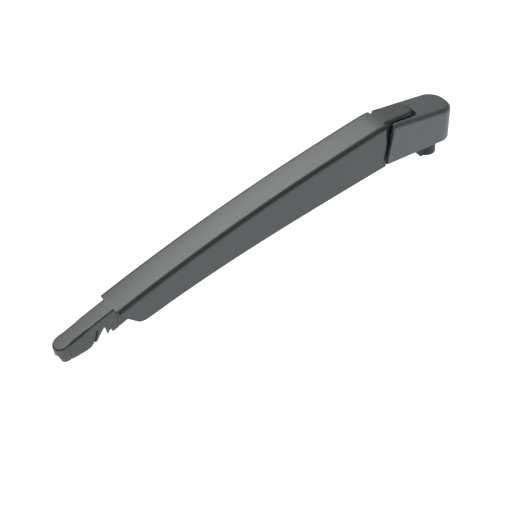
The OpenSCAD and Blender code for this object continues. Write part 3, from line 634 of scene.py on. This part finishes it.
# Blade tongue: round-nosed plate, two slotted rails, nose block with a small nib.
# A pair is a distance past the blade shoulder and a depth below the top line.
bladeTongue = {
    "plate": 2.4, "rim": 1.15, "rimWide": 2.0, "rimWideAt": (19.2, 23.2, 32.2, 36.2),
    "sidePoints": 50, "nosePoints": 49, "endPoints": 8,
    "railInner": 4.4, "railOuter": 6.4, "slitFrom": 5.4, "lap": 0.1, "chamfer": 0.16,
    "railTop": 1.4, "rearFrom": -24.0, "seamAt": -1.8, "seam": 0.35,
    "railLow": ((-24.0, 16.9), (3.0, 18.4), (18.8, 15.8), (20.0, 17.0), (24.2, 17.0), (31.2, 15.4),
                (37.2, 13.4)),
    "slit": ((18.6, 15.4), (14.8, 7.0), (13.4, 7.8), (17.1, 15.9)),
    "notch": ((16.1, 16.2), (11.7, 12.0), (9.6, 10.1), (8.6, 9.7), (8.0, 10.2), (7.5, 17.2), (5.4, 14.9),
              (4.3, 14.9), (3.9, 17.6)),    # slanted side, apex, long tooth, short tooth
    "lowFrom": 19.0, "lowTo": 3.1,    # where the rail's lower edge breaks off on both sides of the notch
    "topPoints": 24, "lowPoints": 10, "backPoints": 4, "rearPoints": 10,
}
noseBlock = {
    "length": 8.0, "inset": 0.1, "top": 1.2, "sidePoints": 6, "nosePoints": 41, "backPoints": 12,
    "lowEdge": ((0, 7.2), (5, 7.2), (9, 5.9), (20, 5.9), (30, 7.2), (42, 11.2), (55, 12.6), (90, 13.4)),
    "rings": ((0, 0), (0.08, 0), (0.92, 0), (0.97, 0.12), (1, 0.45)),    # share of the depth, inset
}
noseCentreX = armShape["noseX"] - armShape["bladeHalf"] * math.cos(math.radians(armShape["drawAngle"]))


def bladePlateOutline():
    # Long sides and a half ellipse as the nose, in plan; the near end lies under the roof
    b, a = bladeTongue, armShape
    back, half = a["bladeX"] - plateSeat["tuck"], a["bladeHalf"]
    reach = a["noseX"] - noseCentreX
    nose = arcPoints((0, 0), 1, -90, 90, b["nosePoints"]) * [reach, half] + [noseCentreX, 0]
    side = resample([[back, -half], [noseCentreX, -half]], b["sidePoints"])[:-1]
    end = resample([[back, half], [back, -half]], b["endPoints"])[1:-1]
    return np.vstack([side, nose, (side * [1, -1])[::-1], end])


def bladePlateTop(x, y):
    # The roof's height, carried on to the nose
    return roofHeight(x, y) + plateLift(armShape["bladeX"] - x)


bladeOutline = bladePlateOutline()
widen = np.interp(bladeOutline[:, 0] - armShape["bladeX"], bladeTongue["rimWideAt"], [0, 1, 1, 0])
bladeRim = bladeTongue["rim"] + (bladeTongue["rimWide"] - bladeTongue["rim"]) * widen
bladePlate = rimmedPlate(bladeOutline, (-np.inf, noseCentreX), bladePlateTop, bladeTongue["plate"], bladeRim,
                         math.radians(armShape["drawAngle"]))
makeSolid("bladePlate", *bladePlate, armPlastic, **armHome)


def railTop(past):
    # Pairs along a rail's upper edge, inside the plate
    return np.column_stack([past, np.full(len(past), bladeTongue["railTop"])])


def railLow(past):
    # Pairs along a rail's lower edge, straight between its stations
    return np.column_stack([past, np.interp(past, *np.array(bladeTongue["railLow"]).T)])


def placeRail(way):
    # Pairs as points of the side view
    way = np.vstack(way)
    return belowTop(armShape["bladeX"] + way[:, 0], way[:, 1])


def frontRailOutline(slit):
    # Rail in front of the seam: upper edge, lower edge back to the notch, and the rest behind it
    b, a = bladeTongue, armShape
    back = b["seamAt"] + b["seam"]
    front = a["noseX"] - a["bladeX"] - noseBlock["length"] - b["seam"]
    return placeRail([railTop(np.linspace(back, front, b["topPoints"])),
                      railLow(np.linspace(front, b["lowFrom"], b["lowPoints"])), *slit,
                      b["notch"], railLow(np.linspace(b["lowTo"], back, b["backPoints"]))])


def rearRailOutline():
    # Rail behind the seam, inside the arm
    past = np.linspace(bladeTongue["rearFrom"], bladeTongue["seamAt"], bladeTongue["rearPoints"])
    return placeRail([railTop(past), railLow(past[::-1])])


def railParts():
    # Each rail has an inner layer, and an outer one that the slit cuts
    b = bladeTongue
    inner, outer, middle = b["railInner"], b["railOuter"], b["slitFrom"]
    return (bothSides(frontRailOutline([]), [], inner, middle + b["lap"], b["chamfer"])
            + bothSides(frontRailOutline([b["slit"]]), [], middle, outer, b["chamfer"])
            + bothSides(rearRailOutline(), [], inner, outer, b["chamfer"]))


makeSolid("bladeRails", *mergeMeshes(railParts()), armPlastic, **armHome)


def noseBlockMesh():
    # Plan outline of the nose carried down the draw direction, to a depth read from the angle round the nose:
    # the front is open below, with a small nib in the middle
    n, x0 = noseBlock, noseCentreX
    r, back = armShape["bladeHalf"] - n["inset"], armShape["noseX"] - n["length"]
    outline = np.vstack([
        resample([[back, -r], [x0, -r]], n["sidePoints"])[:-1],
        arcPoints((x0, 0), r, -90, 90, n["nosePoints"]),
        resample([[x0, r], [back, r]], n["sidePoints"])[1:],
        resample([[back, r], [back, -r]], n["backPoints"])[1:-1],
    ])
    around = np.degrees(np.abs(np.arctan2(outline[:, 1], outline[:, 0] - x0)))
    bottom = np.interp(around, *np.array(n["lowEdge"]).T)
    rows = []
    for share, inset in n["rings"]:
        ring = insetLoop(outline, inset)
        at = belowTop(ring[:, 0], n["top"] + (bottom - n["top"]) * share)
        rows.append(np.stack([at[:, 0], ring[:, 1], at[:, 1]], -1))
    count = np.arange(len(outline))
    faces = gridFaces(len(rows), len(outline), True).tolist()
    faces += lidFaces([ring], (len(rows) - 1) * len(outline) + count) + lidFaces([outline], count)
    return np.concatenate(rows), faces


makeSolid("noseBlock", *noseBlockMesh(), armPlastic, **armHome)
print("blade tongue made")

# Ribs, spring seats, end webs and hinge laps inside the arm's channel
armInside = {
    "ribPitch": 24.0, "ribsFrom": 14.0, "ribsTo": -24.0,    # past the spring pin, past the blade shoulder
    "ribDepth": 6.0, "ribWall": 1.5, "ribGap": 1.2, "sink": 1.6,
    "tongueRibs": (-12.0, 19.4), "tongueRibHalf": 5.2, "tongueRibDepth": 9.6,
    "springPin": (121.0, 17.0), "pinRadius": 2.0, "holePoints": 36, "seatWall": 2.0, "seatPoints": 24,
    "seatFrom": 6.75, "webFrom": 8.1, "wallAt": 11.8, "lapFrom": 9.0, "lapTo": 10.2,
    "web": ((49.4, 44.1), (51.4, 43.7), (51.0, 30.8), (49.4, 30.8)),
    "lap": ((41.4, 10.6), (37.6, 27.6), (46.8, 32.8), (53.4, 32.8), (53.4, 10.6)),
    "chamfer": 0.2, "ribChamfer": 0.25,
}


def crossPlate(x, half, depth):
    # Plate across the channel, its top sunk in the roof
    i, z = armInside, float(topLine(x))
    outline = [[-half, z - depth], [half, z - depth], [half, z - i["sink"]], [-half, z - i["sink"]]]
    return prismMesh(outline, [], x, x + i["ribWall"], i["ribChamfer"], lengthways)


def springSeat():
    # Round below about the spring pin, straight up into the roof
    i = armInside
    reach = i["pinRadius"] + i["seatWall"]
    x = i["springPin"][0] + np.array([reach, -reach])
    return np.vstack([arcPoints(i["springPin"], reach, 180, 360, i["seatPoints"]),
                      np.column_stack([x, topLine(x) - i["sink"]])])


def armRibParts():
    # Cross ribs at an even pitch, two ribs of the blade tongue, then seats, webs and laps on both sides
    i, a = armInside, armShape
    ribs = np.arange(i["springPin"][0] + i["ribsFrom"], a["bladeX"] + i["ribsTo"], i["ribPitch"])
    parts = [crossPlate(x, a["halfWidth"] - i["ribGap"], a["roof"] + i["ribDepth"]) for x in ribs]
    parts += [crossPlate(a["bladeX"] + past, i["tongueRibHalf"], i["tongueRibDepth"])
              for past in i["tongueRibs"]]
    pinHole = circlePoints(i["springPin"], i["pinRadius"], i["holePoints"])
    return (parts + bothSides(springSeat(), [pinHole], i["seatFrom"], i["wallAt"], i["ribChamfer"])
            + bothSides(i["web"], [], i["webFrom"], i["wallAt"], i["chamfer"])
            + bothSides(i["lap"], [], i["lapFrom"], i["lapTo"], i["chamfer"]))


# The ribs take the near-black plastic: painted shade inside the channel
makeSolid("armRibs", *mergeMeshes(armRibParts()), innerPlasticPaintedShade, **armHome)
print("arm ribs made")

# Cap: one sheet from its lower rim up the walls, over the rounded edge and in to the edge of the notch
capShape = {
    "half": 13.8, "back": 17.2, "endRadius": 12.2, "draft": 0.7, "wall": 1.9, "rim": 0.35,
    "bottom": 13.2, "top": 44.5, "fall": 5.4, "topFrom": 6.0,    # heights, and how the top falls to the end
    "foot": 46.4, "slant": 10.8, "edge": 3.5,                    # slanted front of the cheeks, rounded edge
    "notchHalf": 9.4, "notchTip": 10.2, "notchEnd": 15.5, "notchCorner": 4.8,
}
capMesh = {"wallRows": 22, "edgeRows": 12, "topRows": 8,
           "sidePoints": 50, "endPoints": 40, "cornerPoints": 14, "wallRounds": 3, "edgeRounds": 2}
capInside = {
    "bossRadius": 4.6, "bossPoints": 48, "boreRadius": 2.55, "borePoints": 36,
    "bossFrom": 8.8, "bossTo": 12.3, "chamfer": 0.25,
    "nib": ((-15.3, 13.8), (-8.3, 16.2), (-8.3, 17.4), (-15.3, 19.8)),    # holds the shut cap
    "nibHalf": 3.0, "nibChamfer": 0.2,
}


def capTop(x):
    # Straight line that falls towards the end
    c = capShape
    return c["top"] - (c["foot"] - c["topFrom"] - x) * math.tan(math.radians(c["fall"]))


def capFront(z):
    # Straight line up the front of a cheek, leaning back
    c = capShape
    return c["foot"] - (z - c["bottom"]) * math.tan(math.radians(c["slant"]))


def mirroredLoop(side, corners):
    # U in plan: one side, the curve round its end, and the mirrored side back
    side, end = side[:-1], resample(np.vstack(corners), capMesh["endPoints"])
    return np.vstack([side, end, (side * [1, -1])[::-1]])


def capOutline(inset, front, pull=0.0):
    # Outside of the cap, from the front of one cheek to the front of the other; pull shortens the end
    c, turns = capShape, capMesh["endPoints"] // 2
    half, r = c["half"] - inset, c["endRadius"] - inset
    x, y = -c["back"] + pull + c["endRadius"], c["half"] - c["endRadius"]
    side = resample([[front, half], [x, half]], capMesh["sidePoints"])
    return mirroredLoop(side, [arcPoints((x, y), r, 90, 180, turns), arcPoints((x, -y), r, 180, 270, turns)])


def notchOutline(front):
    # Edge of the notch, with the same number of points
    c, turns = capShape, capMesh["cornerPoints"]
    r, w, x = c["notchCorner"], c["notchHalf"], c["notchEnd"]
    side = resample([[front, c["notchTip"]], [x + r, w]], capMesh["sidePoints"])
    return mirroredLoop(side, [arcPoints((x + r, w - r), r, 90, 180, turns),
                               arcPoints((x + r, r - w), r, 180, 270, turns)])


def capSheet():
    # Rows of one grid. A row's front end lies on the cheek's slant and its height follows the sloping top, so
    # both are settled in a few rounds.
    c, m = capShape, capMesh
    rows = []
    for level in np.linspace(0, 1, m["wallRows"]):
        ring = capOutline(0, c["foot"])
        for _ in range(m["wallRounds"]):
            z = c["bottom"] + (capTop(ring[:, 0]) - c["edge"] - c["bottom"]) * level
            ring = capOutline(0, float(capFront(z[0])), c["draft"] * (1 - level))
        rows.append(np.column_stack([ring, z]))
    for turn in np.radians(np.linspace(0, 90, m["edgeRows"] + 1)[1:]):    # quarter circle of the rounded edge
        inset = c["edge"] * (1 - math.cos(turn))
        ring = capOutline(inset, float(rows[-1][0, 0]))
        for _ in range(m["edgeRounds"]):
            z = capTop(ring[:, 0]) - c["edge"] + c["edge"] * math.sin(turn)
            ring = capOutline(inset, float(capFront(z[0])))
        rows.append(np.column_stack([ring, z]))
    outer = rows[-1][:, :2]
    inner = notchOutline(outer[0, 0])
    for share in np.linspace(0, 1, m["topRows"] + 1)[1:]:
        ring = outer + (inner - outer) * share
        rows.append(np.column_stack([ring, capTop(ring[:, 0])]))
    return np.array(rows)


capGrid = capSheet()
capFaces = gridFaces(capGrid.shape[0], capGrid.shape[1])
capShell = makeShell("capShell", capGrid.reshape(-1, 3), capFaces, capPlastic, **capHome)
finishShell(capShell, capShape["wall"], capShape["rim"])
bossRing = circlePoints(hingeAt, capInside["bossRadius"], capInside["bossPoints"])
bossBore = circlePoints(hingeAt, capInside["boreRadius"], capInside["borePoints"])
capBosses = bothSides(bossRing, [bossBore], capInside["bossFrom"], capInside["bossTo"], capInside["chamfer"])
capBosses.append(prismMesh(capInside["nib"], [], -capInside["nibHalf"], capInside["nibHalf"],
                           capInside["nibChamfer"], sideways))
# The bosses take the near-black plastic: painted shade inside the cap
makeSolid("capBosses", *mergeMeshes(capBosses), innerPlasticPaintedShade, **capHome)
print("cap made")

# Spring: round wire along a loop in the link, the coils and a hook over the spring pin
spring = {
    "coil": 4.7, "wire": 0.85, "coils": 17.25, "stepsPerTurn": 28, "sides": 14, "link": 24.0,
    "loopTurn": 270, "loopPoints": 40, "hookTurn": 252, "hookPoints": 36,
    "elbow": 0.5, "lead": (0.7, 0.3), "hookLead": (0.4, -0.4), "hookSet": -0.5,    # the last three in elbows
}


def springPath(run):
    # In the spring's own axes: a circle in the link's hole, an elbow, a helix, and a circle over the pin
    s = spring
    c, elbow = s["coil"], s["wire"] + s["elbow"]
    helixFrom, helixTo = c + elbow, run - (c - s["wire"] - armInside["pinRadius"]) - elbow
    turn = np.radians(90 - np.linspace(0, s["loopTurn"], s["loopPoints"]))
    loop = np.stack([c - c * np.cos(turn), c * np.sin(turn), 0 * turn], -1)
    lead = [[c + s["lead"][0] * elbow, c, s["lead"][1] * elbow]]
    share = np.linspace(0, 1, int(s["coils"] * s["stepsPerTurn"]))[1:]
    wind = math.pi / 2 - share * s["coils"] * 2 * math.pi
    helix = np.stack([helixFrom + (helixTo - helixFrom) * share, c * np.sin(wind), c * np.cos(wind)], -1)
    bend = np.radians(np.linspace(0, s["hookTurn"], s["hookPoints"]))
    hookLead = [[helixTo + s["hookLead"][0] * elbow, s["hookLead"][1] * elbow, c]]
    hookY = np.full(len(bend), s["hookSet"] * elbow)
    hook = np.stack([helixTo + elbow + c * np.sin(bend), hookY, c * np.cos(bend)], -1)
    return np.vstack([loop, lead, helix, hookLead, hook])


def tubeMesh(path, radius, sides):
    # Circle carried along the path, turned by the least twist: each place takes the direction of the one
    # before it, less its part along the path
    tangent = np.gradient(path, axis=0)
    tangent /= np.linalg.norm(tangent, axis=1)[:, None]
    normal = np.zeros_like(path)
    normal[0] = np.cross(tangent[0], [0.3, 0.2, 1.0])    # square to the path's start, in no special direction
    for i in range(1, len(path)):
        normal[i] = normal[i - 1] - (normal[i - 1] @ tangent[i]) * tangent[i]
        normal[i] /= np.linalg.norm(normal[i])
    normal[0] /= np.linalg.norm(normal[0])
    side = np.cross(tangent, normal)
    a = np.linspace(0, 2 * math.pi, sides, endpoint=False)[:, None]
    points = path[:, None] + radius * (np.cos(a) * normal[:, None] + np.sin(a) * side[:, None])
    ends = [list(range(sides))[::-1], [(len(path) - 1) * sides + i for i in range(sides)]]
    return points.reshape(-1, 3), gridFaces(len(path), sides, True).tolist() + ends


def springMesh():
    # The path laid from the link's end to the spring pin
    run = np.array(armInside["springPin"]) - linkPinAt
    tilt = math.atan2(run[1], run[0])
    start = linkPinAt + spring["link"] * np.array([math.cos(tilt), math.sin(tilt)])
    path = springPath(np.linalg.norm(run) - spring["link"])
    x = start[0] + path[:, 0] * math.cos(tilt) - path[:, 2] * math.sin(tilt)
    z = start[1] + path[:, 0] * math.sin(tilt) + path[:, 2] * math.cos(tilt)
    return tubeMesh(np.stack([x, path[:, 1], z], -1), spring["wire"], spring["sides"])


makeSolid("springCoil", *springMesh(), steels["springSteel"], **springHome)
print("spring made")

# Stage, lights and camera, in metres, watts and degrees
studio = {
    "floorDrop": 0.0003, "floorHalf": 6.0, "floorCells": 12, "floorGlow": (1.36, 1.42, 1.45, 1),
    "paper": (0.02, 0.02, 0.02, 1), "paperRough": 0.9, "room": 0.19,
    "sensor": 36, "lens": 120.0, "azimuth": 34.2955, "elevation": 38.65, "roll": -0.7428,
    "distance": 1.17637, "slide": (0.024548, -0.02015), "aim": (0.183, 0.0, 0.01), "clip": (0.05, 60),
}
lamps = {
    "headSoftbox": {"at": (-0.70, -0.80, 0.92), "towards": (0.02, 0, 0.04), "size": (0.8, 0.6),
                    "watts": 1.2, "colour": (0.965, 1.0, 0.985)},
    "farSoftbox": {"at": (0.26, -0.70, 1.07), "towards": (0.15, 0, 0), "size": (1.24, 0.6),
                   "watts": 15.2, "colour": (0.965, 1.0, 0.985)},
    "sideFill": {"at": (1.5, 0.9, 0.5), "towards": (0.1, 0, 0), "size": (0.8, 0.8),
                 "watts": 0.8, "colour": (0.94, 0.97, 1.0)},
}


def paperFloor():
    # White paper that gives its own light, just under the lowest point of the part
    cells = studio["floorCells"] + 1
    line = np.linspace(-studio["floorHalf"], studio["floorHalf"], cells)
    x, y = np.meshgrid(line, line, indexing="ij")
    points = np.stack([x, y, np.full_like(x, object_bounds()[0].z - studio["floorDrop"])], -1).reshape(-1, 3)
    mesh = bpy.data.meshes.new("floor")
    mesh.from_pydata(points.tolist(), [], gridFaces(cells, cells)[:, ::-1].tolist())
    paper = Finish("paperFloor").feed(
        Base_Color=studio["paper"], Roughness=studio["paperRough"], Specular_IOR_Level=0.0,
        Emission_Color=studio["floorGlow"], Emission_Strength=1.0)
    mesh.materials.append(paper)
    floor = bpy.data.objects.new("floor", mesh)
    bpy.context.scene.collection.objects.link(floor)
    floor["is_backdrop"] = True


def paleRoom():
    # Even white light from all round
    world = bpy.data.worlds.new("room")
    bpy.context.scene.world = world
    world.use_nodes = True
    background = world.node_tree.nodes["Background"]
    background.inputs["Color"].default_value = (1, 1, 1, 1)
    background.inputs["Strength"].default_value = studio["room"]


def placed(thing, right, up, back, at):
    # Links an object and turns it to three directions, the columns of its matrix
    bpy.context.scene.collection.objects.link(thing)
    thing.matrix_world = Matrix([*np.column_stack([right, up, back, at]).tolist(), [0, 0, 0, 1]])


def unit(vector):
    # The same direction, one long
    return vector / np.linalg.norm(vector)


def areaLight(name, at, towards, size, watts, colour):
    # Rectangular softbox that looks from one point towards another
    light = bpy.data.lights.new(name, "AREA")
    light.shape, light.size, light.size_y = "RECTANGLE", size[0], size[1]
    light.energy, light.color = watts, colour
    back = unit(np.array(at, float) - np.array(towards, float))
    right = unit(np.cross([0, 0, 1.0], back))
    placed(bpy.data.objects.new(name, light), right, np.cross(back, right), back, at)


def addCamera():
    # Camera on a sphere about its aim, rolled, then slid in its own plane
    s = studio
    az, el, roll = (math.radians(s[key]) for key in ("azimuth", "elevation", "roll"))
    towards = np.array([math.sin(az) * math.cos(el), math.cos(az) * math.cos(el), math.sin(el)])
    flat = unit(np.cross(-towards, [0, 0, 1.0]))
    upright = np.cross(flat, -towards)
    right = math.cos(roll) * flat + math.sin(roll) * upright
    up = -math.sin(roll) * flat + math.cos(roll) * upright
    at = np.array(s["aim"]) + s["distance"] * towards + s["slide"][0] * right + s["slide"][1] * up
    lens = bpy.data.cameras.new("camera")
    lens.sensor_width, lens.lens = s["sensor"], s["lens"]
    lens.clip_start, lens.clip_end = s["clip"]
    camera = bpy.data.objects.new("camera", lens)
    placed(camera, right, up, towards, at)
    bpy.context.scene.camera = camera


paperFloor()
paleRoom()
for lampName, lamp in lamps.items():
    areaLight(lampName, **lamp)
addCamera()
bpy.context.scene.view_settings.view_transform = "Standard"
bpy.context.scene.view_settings.look = "None"
print("stage, lights and camera made")
